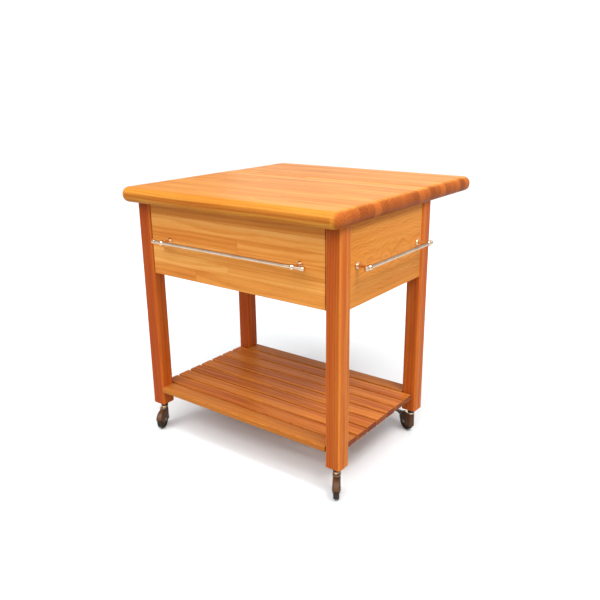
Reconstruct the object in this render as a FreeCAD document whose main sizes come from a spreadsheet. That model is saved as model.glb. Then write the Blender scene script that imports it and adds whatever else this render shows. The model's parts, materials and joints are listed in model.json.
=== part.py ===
"""Kitchen island on casters: butcher block top, drop leaf, deep drawer, slatted shelf and two rails."""
import FreeCAD
import Part
import Sketcher
import math
import os
import re

from FreeCAD import Placement, Rotation, Vector

# Driving dimensions in millimetres. Left and right are seen from the front, which faces -Y.
SIZES = {
    # Legs and the box that they carry
    "frame_width": 824.0,
    "frame_depth": 536.0,
    "leg_side": 54.0,
    "leg_length": 747.0,
    "leg_ease": 9.0,
    "caster_height": 97.0,
    "panel_height": 247.0,
    "side_panel_recess": 5.0,
    "side_panel_thickness": 18.0,
    "back_panel_recess": 3.0,
    "back_panel_thickness": 18.0,
    "front_rail_depth": 22.0,
    "front_rail_height": 24.0,
    "cleat_side": 22.0,
    # Top and drop leaf
    "top_thickness": 50.0,
    "top_side_overhang": 22.0,
    "top_front_overhang": 55.0,
    "top_corner_round": 27.0,
    "top_edge_round": 23.0,
    "joint_ease": 4.0,
    "leaf_lap": 50.0,
    "leaf_joint_gap": 2.5,
    "leaf_depth": 328.0,
    "leaf_side_inset": 4.0,
    # Leaf hinges
    "hinge_spacing": 280.0,
    "hinge_length": 72.0,
    "hinge_plate_width": 26.0,
    "hinge_plate_thickness": 2.0,
    "hinge_knuckle_radius": 4.0,
    "hinge_pin_radius": 2.0,
    "hinge_pin_fit": 0.06,
    "hinge_clearance": 0.4,
    # Slatted shelf
    "shelf_height": 165.0,
    "slat_thickness": 19.0,
    "slat_count": 7,
    "slat_gap": 8.0,
    "slat_end_inset": 12.0,
    "slat_ease": 3.0,
    "end_rail_thickness": 18.0,
    "end_rail_height": 24.0,
    # Drawer and its telescopic slides
    "drawer_front_recess": 6.0,
    "drawer_front_thickness": 20.0,
    "drawer_front_gap": 2.5,
    "drawer_front_ease": 2.5,
    "drawer_rail_gap": 2.0,
    "drawer_side_thickness": 14.0,
    "drawer_side_height": 160.0,
    "drawer_side_lift": 34.0,
    "drawer_rear_gap": 29.0,
    "drawer_bottom_thickness": 6.0,
    "drawer_bottom_lift": 12.0,
    "drawer_groove_depth": 6.0,
    "runner_height": 70.0,
    "slide_space": 12.7,
    "slide_height": 45.0,
    "slide_rear_gap": 10.0,
    "slide_sheet": 1.5,
    "slide_clearance": 0.5,
    # Drawer pull and towel bar
    "bar_radius": 6.0,
    "pull_standoff": 38.0,
    "towel_standoff": 44.0,
    "bar_drop": 123.0,
    "bar_fit": 0.15,
    "bar_end_round": 2.5,
    "pull_length": 624.0,
    "pull_post_spacing": 536.0,
    "towel_length": 404.0,
    "towel_post_spacing": 362.0,
    "post_radius": 5.0,
    "post_foot_radius": 10.0,
    "post_foot_height": 4.0,
    "post_head_radius": 9.5,
    # Casters
    "wheel_radius": 33.0,
    "wheel_width": 18.0,
    "wheel_tread_round": 4.5,
    "wheel_hub_radius": 11.0,
    "wheel_rim_radius": 25.0,
    "wheel_dish_depth": 2.5,
    "caster_trail": 26.0,
    "axle_radius": 4.0,
    "axle_fit": 0.08,
    "axle_head_radius": 6.0,
    "axle_head_height": 2.0,
    "hood_gap": 1.2,
    "hood_wall": 2.0,
    "hood_round": 8.0,
    "hood_skirt": 9.0,
    "skirt_start": 12.0,
    "neck_back": 27.0,
    "collar_radius": 10.5,
    "collar_height": 4.0,
    "swivel_gap": 0.3,
    "stem_radius": 5.5,
    "stem_length": 36.0,
    "stem_fit": 0.08,
    "socket_wall": 2.0,
    "socket_flange_radius": 12.5,
    "socket_flange_height": 18.0,
    "pedal_length": 30.0,
    "pedal_width": 14.0,
    "pedal_thickness": 5.0,
    "pedal_barrel_radius": 4.0,
    "pedal_pin_radius": 2.0,
    "pedal_pin_fit": 0.08,
    "pedal_ear": 3.0,
    "pedal_ear_depth": 12.0,
    "pedal_side_gap": 0.4,
}

# Places worked out from the driving dimensions. The row's origin lies on the floor below the middle
# of everything, so mid_x and mid_y place the middle of the four legs. A pedal turns on the hood's
# back, 25 degrees above the axle: 0.906 and 0.423 are that bearing's cosine and sine.
DERIVED = {
    "mid_x": "(top_side_overhang + side_panel_recess - towel_standoff - post_head_radius) / 2",
    "mid_y": "(top_front_overhang + leaf_lap - leaf_joint_gap - leaf_depth) / 2",
    "half_width": "frame_width / 2",
    "half_depth": "frame_depth / 2",
    "inner_x": "half_width - leg_side",
    "inner_y": "half_depth - leg_side",
    "top_under": "caster_height + leg_length",
    "panel_bottom": "top_under - panel_height",
    "main_back": "half_depth - leaf_lap",
    "leaf_front": "main_back + leaf_joint_gap",
    "back_panel_face": "half_depth - back_panel_recess",
    "side_panel_face": "half_width - side_panel_recess",
    "hinge_offset": "hinge_knuckle_radius + hinge_clearance",
    "hinge_y": "back_panel_face + hinge_offset",
    "hinge_z": "top_under - hinge_offset",
    "hinge_third": "hinge_length / 3",
    "slat_width": "(2 * inner_y - (slat_count + 1) * slat_gap) / slat_count",
    "slat_under": "shelf_height - slat_thickness",
    "front_face": "-half_depth + drawer_front_recess",
    "front_back_face": "front_face + drawer_front_thickness",
    "drawer_half": "inner_x - slide_space",
    "drawer_length": "back_panel_face - back_panel_thickness - drawer_rear_gap - front_back_face",
    "slide_length": "drawer_length - slide_rear_gap",
    "drawer_under": "panel_bottom + drawer_side_lift",
    "drawer_middle": "drawer_under + drawer_side_height / 2",
    "bar_height": "top_under - bar_drop",
    "hood_inner": "wheel_radius + hood_gap",
    "hood_outer": "hood_inner + hood_wall",
    "hood_half": "wheel_width / 2 + hood_gap",
    "hood_face": "hood_half + hood_wall",
    "swivel_top": "caster_height - socket_flange_height - swivel_gap",
    "neck_top": "swivel_top - collar_height",
    "stem_tip": "caster_height + stem_length - swivel_gap",
    "socket_inner": "stem_radius + stem_fit",
    "socket_outer": "socket_inner + socket_wall",
    "pedal_reach": "hood_outer + pedal_barrel_radius + pedal_side_gap",
    "pedal_pivot_x": "caster_trail + 0.906 * pedal_reach",
    "pedal_pivot_z": "wheel_radius + 0.423 * pedal_reach",
}

SHEET = "Sizes"
SIDES = {"left": -1, "right": 1}
ENDS = {"front": -1, "rear": 1}
HINGE_PLACES = (-1, 0, 1)
# Direction, in degrees about +Z from +X, in which each caster trails as the island stands.
CASTER_HEADINGS = {
    ("front", "left"): -66.0,
    ("front", "right"): -58.0,
    ("rear", "left"): 115.0,
    ("rear", "right"): 152.0,
}
BRAKED_END = "rear"
# Slope of the hood's rear edge and rise of an unpressed pedal, in degrees.
SKIRT_SLOPE = 40.0
PEDAL_RISE = -10.0

EDGE_TOLERANCE = 0.01
doc = FreeCAD.newDocument("kitchen_island")
nodes = []


def make_sheet():
    """Put the driving dimensions into a spreadsheet, one alias to a row."""
    sheet = doc.addObject("Spreadsheet::Sheet", SHEET)
    for row, (name, value) in enumerate(SIZES.items(), 1):
        sheet.set(f"A{row}", name)
        sheet.set(f"B{row}", str(value))
        sheet.setAlias(f"B{row}", name)
    doc.recompute()


def formula(text):
    """Write a size formula out in sheet cells, with each derived place replaced by its own formula."""
    def swap(match):
        word = match.group(0)
        if word in SIZES:
            return SHEET + "." + word
        return "(" + formula(DERIVED[word]) + ")"
    return re.sub(r"[a-z][a-z_]*", swap, text)


def signed(sign, text):
    """Give a formula that is counted from the middle, on the side that sign names."""
    return f"{sign} * ({text})"


def bind(item, **values):
    """Bind properties of an object to size formulas."""
    for name, text in values.items():
        item.setExpression(name, formula(text))


def place(item, at, turn=None):
    """Bind an object's base point to three size formulas, with a fixed rotation."""
    if turn is not None:
        item.Placement = Placement(Vector(), turn)
    for axis, text in zip("xyz", at):
        item.setExpression(".Placement.Base." + axis, formula(text))
    return item


def keep(item, label):
    """Name a finished sub-part and list it for export."""
    item.Label = label
    nodes.append(item)
    return item


def box(size, at):
    """A plain block with its low corner at a place."""
    item = doc.addObject("Part::Box", "Block")
    bind(item, Length=size[0], Width=size[1], Height=size[2])
    return place(item, at)


ALONG_X = Rotation(Vector(0, 1, 0), 90)
ALONG_Y = Rotation(Vector(1, 0, 0), -90)
ALONG_Z = Rotation()


def rod(radius, length, at, turn=ALONG_Z):
    """A round bar that starts at a place and runs along +X, +Y or +Z."""
    item = doc.addObject("Part::Cylinder", "Rod")
    bind(item, Radius=radius, Height=length)
    return place(item, at, turn)


def ball(radius, at):
    """A sphere about a place."""
    item = doc.addObject("Part::Sphere", "Ball")
    bind(item, Radius=radius)
    return place(item, at)


def fuse(items):
    """Join several shapes into one solid."""
    item = doc.addObject("Part::MultiFuse", "Joined")
    item.Shapes = items
    item.Refine = True
    return item


def cut(base, tool):
    """Take one shape out of another."""
    item = doc.addObject("Part::Cut", "Cut")
    item.Base = base
    item.Tool = tool
    return item


def group(items):
    """Keep several like solids together as one node."""
    item = doc.addObject("Part::Compound", "Group")
    item.Links = items
    return item


def plane(body, role):
    """Find one of a body's own origin planes or axes."""
    return next(item for item in body.Origin.OriginFeatures if item.Role == role)


def rectangle(body, role, start, size):
    """Draw a rectangle on an origin plane, its low corner and its size bound to formulas."""
    sketch = body.newObject("Sketcher::SketchObject", "Outline")
    sketch.AttachmentSupport = (plane(body, role), [""])
    sketch.MapMode = "FlatFace"
    corners = [Vector(1, 1), Vector(9, 1), Vector(9, 7), Vector(1, 7)]
    for index in range(4):
        sketch.addGeometry(Part.LineSegment(corners[index], corners[(index + 1) % 4]))
    for index in range(4):
        sketch.addConstraint(Sketcher.Constraint("Coincident", index, 2, (index + 1) % 4, 1))
    for index in (0, 2):
        sketch.addConstraint(Sketcher.Constraint("Horizontal", index))
    for index in (1, 3):
        sketch.addConstraint(Sketcher.Constraint("Vertical", index))
    for kind, first, second, text in (
        ("DistanceX", (0, 1), (0, 2), size[0]),
        ("DistanceY", (1, 1), (1, 2), size[1]),
        ("DistanceX", (-1, 1), (0, 1), start[0]),
        ("DistanceY", (-1, 1), (0, 1), start[1]),
    ):
        number = sketch.addConstraint(Sketcher.Constraint(kind, *first, *second, 1.0))
        sketch.setExpression(f"Constraints[{number}]", formula(text))
    return sketch


def pad(body, sketch, height):
    """Raise a sketch into a solid."""
    item = body.newObject("PartDesign::Pad", "Pad")
    item.Profile = sketch
    bind(item, Length=height)
    doc.recompute()
    return item


def round_edges(body, base, radius, wanted):
    """Round the edges of a feature for which wanted(edge) holds."""
    edges = base.Shape.Edges
    names = [f"Edge{number}" for number, edge in enumerate(edges, 1) if wanted(edge)]
    item = body.newObject("PartDesign::Fillet", "Round")
    item.Base = (base, names)
    bind(item, Radius=radius)
    doc.recompute()
    return item


def along(edge, axis):
    """Tell whether a straight edge runs along an axis."""
    return edge.Curve.TypeId == "Part::GeomLine" and abs(edge.Curve.Direction.dot(axis)) > 0.999


def runs_across(edge):
    """Tell whether an edge runs from left to right."""
    return along(edge, Vector(1, 0, 0))


def board(label, size, at, ease, wanted):
    """A sawn board with the edges eased for which wanted(edge) holds."""
    body = doc.addObject("PartDesign::Body", "Board")
    raised = pad(body, rectangle(body, "XY_Plane", ("0", "0"), size[:2]), size[2])
    round_edges(body, raised, ease, wanted)
    place(body, at)
    return keep(body, label)


def slab(label, size, at, joint_at_back):
    """A thick top: rounded plan corners and edges on three sides, and an eased joint on the fourth."""
    body = doc.addObject("PartDesign::Body", "Slab")
    raised = pad(body, rectangle(body, "XY_Plane", ("0", "0"), size[:2]), size[2])
    middle = raised.Shape.BoundBox.Center
    joint = raised.Shape.BoundBox.YMax if joint_at_back else raised.Shape.BoundBox.YMin

    def free_corner(edge):
        """An upright edge away from the joint."""
        return along(edge, Vector(0, 0, 1)) and (edge.CenterOfMass.y < middle.y) == joint_at_back

    def rim(edge):
        """A level edge that isn't on the joint."""
        return not along(edge, Vector(0, 0, 1)) and abs(edge.CenterOfMass.y - joint) > 1.0

    def joint_edge(edge):
        """An edge that lies in the joint's face."""
        bounds = edge.BoundBox
        return abs(bounds.YMin - joint) < EDGE_TOLERANCE and bounds.YLength < EDGE_TOLERANCE

    cornered = round_edges(body, raised, "top_corner_round", free_corner)
    rolled = round_edges(body, cornered, "top_edge_round", rim)
    round_edges(body, rolled, "joint_ease", joint_edge)
    place(body, at)
    return keep(body, label)


def leg(end, side):
    """A square leg with eased edges and a bore for the caster's socket."""
    body = doc.addObject("PartDesign::Body", "Leg")
    raised = pad(body, rectangle(body, "XY_Plane", ("0", "0"), ("leg_side", "leg_side")), "leg_length")
    eased = round_edges(body, raised, "leg_ease", lambda edge: along(edge, Vector(0, 0, 1)))
    sketch = body.newObject("Sketcher::SketchObject", "Bore")
    sketch.AttachmentSupport = (plane(body, "XY_Plane"), [""])
    sketch.MapMode = "FlatFace"
    circle = sketch.addGeometry(Part.Circle(Vector(20, 20), Vector(0, 0, 1), 5))
    for kind, text in (("DistanceX", "leg_side / 2"), ("DistanceY", "leg_side / 2")):
        number = sketch.addConstraint(Sketcher.Constraint(kind, -1, 1, circle, 3, 20.0))
        sketch.setExpression(f"Constraints[{number}]", formula(text))
    number = sketch.addConstraint(Sketcher.Constraint("Radius", circle, 5.0))
    sketch.setExpression(f"Constraints[{number}]", formula("socket_outer"))
    bore = body.newObject("PartDesign::Pocket", "SocketBore")
    bore.Profile = sketch
    bore.Reversed = True
    bind(bore, Length="stem_length")
    doc.recompute()
    if bore.Shape.Volume >= eased.Shape.Volume:
        raise ValueError("the socket bore cut nothing")
    x_text = f"mid_x + {signed(SIDES[side], 'half_width - leg_side / 2')} - leg_side / 2"
    y_text = f"mid_y + {signed(ENDS[end], 'half_depth - leg_side / 2')} - leg_side / 2"
    place(body, (x_text, y_text, "caster_height"))
    return keep(body, f"leg_{end}_{side}")


def from_side(side, near, far):
    """Low corner in X of a piece that lies between two distances from the middle, on one side."""
    return f"mid_x + {near}" if side == "right" else f"mid_x - ({far})"


def build_top():
    """The butcher block top and the drop leaf behind it."""
    main_width = "frame_width + 2 * top_side_overhang"
    main_left = "mid_x - half_width - top_side_overhang"
    slab("main_top",
         (main_width, "half_depth + top_front_overhang + main_back", "top_thickness"),
         (main_left, "mid_y - half_depth - top_front_overhang", "top_under"), True)
    slab("drop_leaf",
         (f"{main_width} - 2 * leaf_side_inset", "leaf_depth", "top_thickness"),
         (f"{main_left} + leaf_side_inset", "mid_y + leaf_front", "top_under"), False)


def build_case():
    """Legs, panels, front rails and the cleats that hold the top."""
    for end in ENDS:
        for side in SIDES:
            leg(end, side)
    for side in SIDES:
        low = from_side(side, "side_panel_face - side_panel_thickness", "side_panel_face")
        panel = box(("side_panel_thickness", "2 * inner_y", "panel_height"),
                    (low, "mid_y - inner_y", "panel_bottom"))
        keep(panel, f"side_panel_{side}")
    back = box(("2 * inner_x", "back_panel_thickness", "panel_height"),
               ("mid_x - inner_x", "mid_y + back_panel_face - back_panel_thickness", "panel_bottom"))
    keep(back, "back_panel")
    rail_y = "mid_y + front_back_face + drawer_rail_gap"
    rail_size = ("2 * inner_x", "front_rail_depth", "front_rail_height")
    for label, rail_z in (("front_rail_upper", "top_under - front_rail_height"),
                          ("front_rail_lower", "panel_bottom")):
        keep(box(rail_size, ("mid_x - inner_x", rail_y, rail_z)), label)
    cleats = []
    for side in SIDES:
        reach = "side_panel_face - side_panel_thickness"
        low = from_side(side, f"{reach} - cleat_side", reach)
        cleats.append(box(("cleat_side", "2 * inner_y", "cleat_side"),
                          (low, "mid_y - inner_y", "top_under - cleat_side")))
    keep(group(cleats), "top_cleats")


def build_shelf():
    """Two stretchers between the legs, and slats on two end rails."""
    for end, sign in ENDS.items():
        y_text = f"mid_y + {signed(sign, 'half_depth - leg_side / 2')} - leg_side / 2"
        board(f"shelf_stretcher_{end}", ("2 * inner_x", "leg_side", "slat_thickness"),
              ("mid_x - inner_x", y_text, "slat_under"), "slat_ease", runs_across)
    for number in range(SIZES["slat_count"]):
        y_text = f"mid_y - inner_y + slat_gap + {number} * (slat_width + slat_gap)"
        board(f"shelf_slat_{number + 1}",
              ("frame_width - 2 * slat_end_inset", "slat_width", "slat_thickness"),
              ("mid_x - half_width + slat_end_inset", y_text, "slat_under"), "slat_ease", runs_across)
    for side in SIDES:
        rail = box(("end_rail_thickness", "2 * inner_y", "end_rail_height"),
                   (from_side(side, "inner_x", "inner_x + end_rail_thickness"), "mid_y - inner_y",
                    "slat_under - end_rail_height"))
        keep(rail, f"shelf_end_rail_{side}")


def inward(side, near, far):
    """Low corner in X of a piece between two distances in from the inner faces of the legs."""
    return f"mid_x + inner_x - ({far})" if side == "right" else f"mid_x - inner_x + ({near})"


def channel(label, side, near, far, half_height, web_at_far):
    """A slide member folded from sheet, as a web with two lips."""
    start_y = "mid_y + front_back_face + drawer_rail_gap"
    low_z = f"drawer_middle - ({half_height})"
    shell = box((f"({far}) - ({near})", "slide_length", f"2 * ({half_height})"),
                (inward(side, near, far), start_y, low_z))
    open_near = near if web_at_far else f"{near} + slide_sheet"
    open_far = f"{far} - slide_sheet" if web_at_far else far
    hollow_height = f"2 * ({half_height}) - 2 * slide_sheet"
    hollow = box((f"({open_far}) - ({open_near})", "slide_length", hollow_height),
                 (inward(side, open_near, open_far), start_y, f"{low_z} + slide_sheet"))
    return keep(cut(shell, hollow), f"{label}_{side}")


def build_slides():
    """Runners on the case and three telescopic members at each side of the drawer."""
    half = "slide_height / 2"
    step = "(slide_sheet + slide_clearance)"
    reach = f"slide_space - {step}"
    for side in SIDES:
        far_face = "side_panel_face - side_panel_thickness"
        runner = box((f"{far_face} - inner_x", "2 * inner_y", "runner_height"),
                     (from_side(side, "inner_x", far_face), "mid_y - inner_y",
                      "drawer_middle - runner_height / 2"))
        keep(runner, f"drawer_runner_{side}")
        channel("slide_outer", side, "0", reach, half, False)
        channel("slide_middle", side, step, reach, f"{half} - {step}", False)
        channel("slide_inner", side, f"2 * {step}", "slide_space", f"{half} - 2 * {step}", True)


def build_drawer():
    """The drawer: show front, grooved sides, back and bottom."""
    front_size = ("2 * inner_x - 2 * drawer_front_gap", "drawer_front_thickness",
                  "panel_height - drawer_front_gap")
    board("drawer_front", front_size,
          ("mid_x - inner_x + drawer_front_gap", "mid_y + front_face", "panel_bottom"),
          "drawer_front_ease", lambda edge: edge.BoundBox.YMax < EDGE_TOLERANCE)
    start_y = "mid_y + front_back_face"
    groove_z = "drawer_under + drawer_bottom_lift"
    inner_half = "drawer_half - drawer_side_thickness"
    bottom_half = f"({inner_half} + drawer_groove_depth)"
    for side in SIDES:
        wall = box(("drawer_side_thickness", "drawer_length", "drawer_side_height"),
                   (from_side(side, inner_half, "drawer_half"), start_y, "drawer_under"))
        groove = box(("drawer_groove_depth", "drawer_length", "drawer_bottom_thickness"),
                     (from_side(side, inner_half, bottom_half), start_y, groove_z))
        keep(cut(wall, groove), f"drawer_side_{side}")
    keep(box((f"2 * {bottom_half}", "drawer_length", "drawer_bottom_thickness"),
             (f"mid_x - {bottom_half}", start_y, groove_z)), "drawer_bottom")
    keep(box((f"2 * ({inner_half})", "drawer_side_thickness",
              "drawer_side_height - drawer_bottom_lift - drawer_bottom_thickness"),
             (f"mid_x - ({inner_half})", f"{start_y} + drawer_length - drawer_side_thickness",
              f"{groove_z} + drawer_bottom_thickness")), "drawer_back")


def bar(label, length, at, turn):
    """A round bar with softened ends, drawn upright and turned into place."""
    body = doc.addObject("PartDesign::Body", "Bar")
    sketch = body.newObject("Sketcher::SketchObject", "Section")
    sketch.AttachmentSupport = (plane(body, "XY_Plane"), [""])
    sketch.MapMode = "FlatFace"
    circle = sketch.addGeometry(Part.Circle(Vector(), Vector(0, 0, 1), 5))
    sketch.addConstraint(Sketcher.Constraint("Coincident", circle, 3, -1, 1))
    number = sketch.addConstraint(Sketcher.Constraint("Radius", circle, 5.0))
    sketch.setExpression(f"Constraints[{number}]", formula("bar_radius"))
    raised = pad(body, sketch, length)
    round_edges(body, raised, "bar_end_round", lambda edge: edge.Curve.TypeId == "Part::GeomCircle")
    place(body, at, turn)
    return keep(body, label)


def post(standoff, at, turn):
    """A turned post with a foot and a bored ball head, drawn upright with its bar along X."""
    solid = fuse([rod("post_foot_radius", "post_foot_height", ("0", "0", "0")),
                  rod("post_radius", standoff, ("0", "0", "0")),
                  ball("post_head_radius", ("0", "0", standoff))])
    bore = rod("bar_radius + bar_fit", "4 * post_head_radius", ("-2 * post_head_radius", "0", standoff),
               ALONG_X)
    return place(cut(solid, bore), at, turn)


def build_bars():
    """The drawer's pull and the towel bar on the right side panel."""
    pull_y = "mid_y + front_face - pull_standoff"
    bar("drawer_pull_bar", "pull_length", ("mid_x - pull_length / 2", pull_y, "bar_height"), ALONG_X)
    facing_front = Rotation(Vector(1, 0, 0), 90)
    pull_places = [(f"mid_x + {signed(sign, 'pull_post_spacing / 2')}", "mid_y + front_face",
                    "bar_height") for sign in SIDES.values()]
    keep(group([post("pull_standoff", at, facing_front) for at in pull_places]), "drawer_pull_posts")
    towel_x = "mid_x + side_panel_face + towel_standoff"
    bar("towel_bar", "towel_length", (towel_x, "mid_y - towel_length / 2", "bar_height"), ALONG_Y)
    facing_right = Rotation(Vector(1, 1, 1), 120)
    towel_places = [("mid_x + side_panel_face", f"mid_y + {signed(sign, 'towel_post_spacing / 2')}",
                     "bar_height") for sign in SIDES.values()]
    keep(group([post("towel_standoff", at, facing_right) for at in towel_places]), "towel_bar_posts")


def hinge(number):
    """One butt hinge: the case's half, the leaf's half and the pin."""
    start = f"mid_x + {number} * hinge_spacing - hinge_length / 2"
    axis_y = "mid_y + hinge_y"
    bore = rod("hinge_pin_radius + hinge_pin_fit", "hinge_length", (start, axis_y, "hinge_z"), ALONG_X)
    middle = f"{start} + hinge_third"
    last = f"{start} + 2 * hinge_third"
    room = "hinge_offset + hinge_clearance"
    case_plate = box(("hinge_length", "hinge_plate_thickness", "hinge_plate_width"),
                     (start, "mid_y + back_panel_face", "hinge_z - hinge_plate_width"))
    case_relief = box(("hinge_third", "hinge_plate_thickness", room),
                      (middle, "mid_y + back_panel_face", f"hinge_z - ({room})"))
    case_knuckles = [rod("hinge_knuckle_radius", "hinge_third", (x, axis_y, "hinge_z"), ALONG_X)
                     for x in (start, last)]
    case_half = cut(fuse([cut(case_plate, case_relief)] + case_knuckles), bore)
    leaf_plate = box(("hinge_length", "hinge_plate_width", "hinge_plate_thickness"),
                     (start, axis_y, "top_under - hinge_plate_thickness"))
    leaf_reliefs = [box(("hinge_third + hinge_clearance", room, "hinge_plate_thickness"),
                        (x, axis_y, "top_under - hinge_plate_thickness"))
                    for x in (start, f"{last} - hinge_clearance")]
    leaf_knuckle = rod("hinge_knuckle_radius", "hinge_third - 2 * hinge_clearance",
                       (f"{middle} + hinge_clearance", axis_y, "hinge_z"), ALONG_X)
    leaf_half = cut(fuse([cut(leaf_plate, fuse(leaf_reliefs)), leaf_knuckle]), bore)
    pin = rod("hinge_pin_radius", "hinge_length", (start, axis_y, "hinge_z"), ALONG_X)
    return case_half, leaf_half, pin


def build_hinges():
    """Three butt hinges between the back panel and the leaf."""
    halves = [hinge(number) for number in HINGE_PLACES]
    for index, label in enumerate(("hinge_plates_case", "hinge_plates_leaf", "hinge_pins")):
        keep(group([parts[index] for parts in halves]), label)


def turned(body, kind, name, start, size):
    """Turn a rectangle about a body's X axis, adding or cutting."""
    item = body.newObject("PartDesign::" + kind, name)
    item.Profile = rectangle(body, "XY_Plane", start, size)
    item.ReferenceAxis = (plane(body, "X_Axis"), [""])
    item.Angle = 360
    doc.recompute()
    return item


def rounded_disc(body, bore, radius, half_width, rounding):
    """A disc about a body's X axis with a bore and with rounded outer edges."""
    disc = turned(body, "Revolution", "Disc", (f"-({half_width})", bore),
                  (f"2 * ({half_width})", f"{radius} - ({bore})"))
    full_height = disc.Shape.BoundBox.ZLength

    def is_outer(edge):
        """Tell whether an edge is one of the two outer circles."""
        bounds = edge.BoundBox
        return bounds.XLength < EDGE_TOLERANCE and bounds.ZLength > full_height - EDGE_TOLERANCE

    return round_edges(body, disc, rounding, is_outer)


def hood_disc(name, radius, half_width, rounding):
    """A disc about the axle, for a hood or for the room that it leaves for the wheel."""
    body = doc.addObject("PartDesign::Body", name)
    rounded_disc(body, "axle_radius", radius, half_width, rounding)
    return place(body, ("caster_trail", "0", "wheel_radius"), Rotation(Vector(0, 0, 1), 90))


def neck():
    """The hood's upright neck, as wide as the hood, with a round front and back."""
    height = "neck_top - wheel_radius"
    back_middle = "neck_back - hood_face"
    return fuse([
        rod("hood_face", height, ("0", "0", "wheel_radius")),
        box((back_middle, "2 * hood_face", height), ("0", "-hood_face", "wheel_radius")),
        rod("hood_face", height, (back_middle, "0", "wheel_radius")),
    ])


def tilted_box(size, at, rise):
    """A block that climbs from a place at an angle in degrees, its top face through that place."""
    item = box(size, at)
    lean = math.radians(rise)
    low_x = f"{at[0]} + {math.sin(lean):.9f} * {size[2]}"
    low_z = f"{at[2]} - {math.cos(lean):.9f} * {size[2]}"
    return place(item, (low_x, at[1], low_z), Rotation(Vector(0, 1, 0), -rise))


def caster_fork(braked):
    """Hooded swivel fork with its collar and stem, and ears for the pedal if the caster has a brake."""
    pieces = [
        hood_disc("Hood", "hood_outer", "hood_face", "hood_round"),
        neck(),
        rod("collar_radius", "collar_height", ("0", "0", "neck_top")),
        rod("stem_radius", "stem_tip - neck_top", ("0", "0", "neck_top")),
    ]
    below_hood = ("2 * hood_outer + 2 * hood_face", "4 * hood_face",
                  "wheel_radius + hood_outer - hood_skirt")
    cutters = [
        hood_disc("WheelRoom", "hood_inner", "hood_half", "hood_round - hood_wall"),
        box(below_hood, ("caster_trail - hood_outer - hood_face", "-2 * hood_face", "-hood_outer")),
        tilted_box(("2 * hood_outer", "4 * hood_face", "2 * hood_outer"),
                   ("caster_trail + skirt_start", "-2 * hood_face", "wheel_radius - hood_skirt"),
                   SKIRT_SLOPE),
        rod("axle_radius", "2 * hood_face", ("caster_trail", "-hood_face", "wheel_radius"), ALONG_Y),
    ]
    if braked:
        ear_near = "pedal_width / 2 + pedal_side_gap"
        ear_size = ("pedal_ear_depth", "pedal_ear", "2 * pedal_barrel_radius")
        for ear_y in (ear_near, f"-({ear_near} + pedal_ear)"):
            pieces.append(box(ear_size, ("pedal_pivot_x - pedal_ear_depth", ear_y,
                                         "pedal_pivot_z - pedal_barrel_radius")))
            pieces.append(rod("pedal_barrel_radius", "pedal_ear",
                              ("pedal_pivot_x", ear_y, "pedal_pivot_z"), ALONG_Y))
        cutters.append(rod("pedal_pin_radius + pedal_pin_fit", "2 * hood_face",
                           ("pedal_pivot_x", "-hood_face", "pedal_pivot_z"), ALONG_Y))
    return cut(fuse(pieces), fuse(cutters))


def caster_axle():
    """Axle with a flat head at each end."""
    head_size = ("axle_head_radius", "axle_head_height")
    return fuse([
        rod("axle_radius", "2 * hood_face", ("caster_trail", "-hood_face", "wheel_radius"), ALONG_Y),
        rod(*head_size, ("caster_trail", "hood_face", "wheel_radius"), ALONG_Y),
        rod(*head_size, ("caster_trail", "-hood_face - axle_head_height", "wheel_radius"), ALONG_Y),
    ])


def caster_pedal():
    """Brake pedal: a plate on a barrel with two pin ends."""
    pin_reach = "(pedal_width / 2 + pedal_side_gap + pedal_ear)"
    return fuse([
        rod("pedal_barrel_radius", "pedal_width",
            ("pedal_pivot_x", "-pedal_width / 2", "pedal_pivot_z"), ALONG_Y),
        rod("pedal_pin_radius", f"2 * {pin_reach}",
            ("pedal_pivot_x", f"-{pin_reach}", "pedal_pivot_z"), ALONG_Y),
        tilted_box(("pedal_length", "pedal_width", "pedal_thickness"),
                   ("pedal_pivot_x", "-pedal_width / 2", "pedal_pivot_z + pedal_thickness / 2"),
                   PEDAL_RISE),
    ])


def caster_wheel():
    """Dished wheel turned about its own X axis."""
    body = doc.addObject("PartDesign::Body", "Wheel")
    tread = rounded_disc(body, "axle_radius + axle_fit", "wheel_radius", "wheel_width / 2",
                         "wheel_tread_round")
    dish_size = ("wheel_dish_depth", "wheel_rim_radius - wheel_hub_radius")
    for name, start in (("DishLeft", "-wheel_width / 2"),
                        ("DishRight", "wheel_width / 2 - wheel_dish_depth")):
        turned(body, "Groove", name, (start, "wheel_hub_radius"), dish_size)
    if body.Shape.Volume >= tread.Shape.Volume:
        raise ValueError("the wheel's dishes cut nothing")
    return body


def caster_socket():
    """Flanged sleeve in the leg's bore."""
    solid = fuse([
        rod("socket_flange_radius", "socket_flange_height",
            ("0", "0", "caster_height - socket_flange_height")),
        rod("socket_outer", "stem_length", ("0", "0", "caster_height")),
    ])
    return cut(solid, rod("socket_inner", "socket_flange_height + stem_length",
                          ("0", "0", "caster_height - socket_flange_height")))


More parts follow.
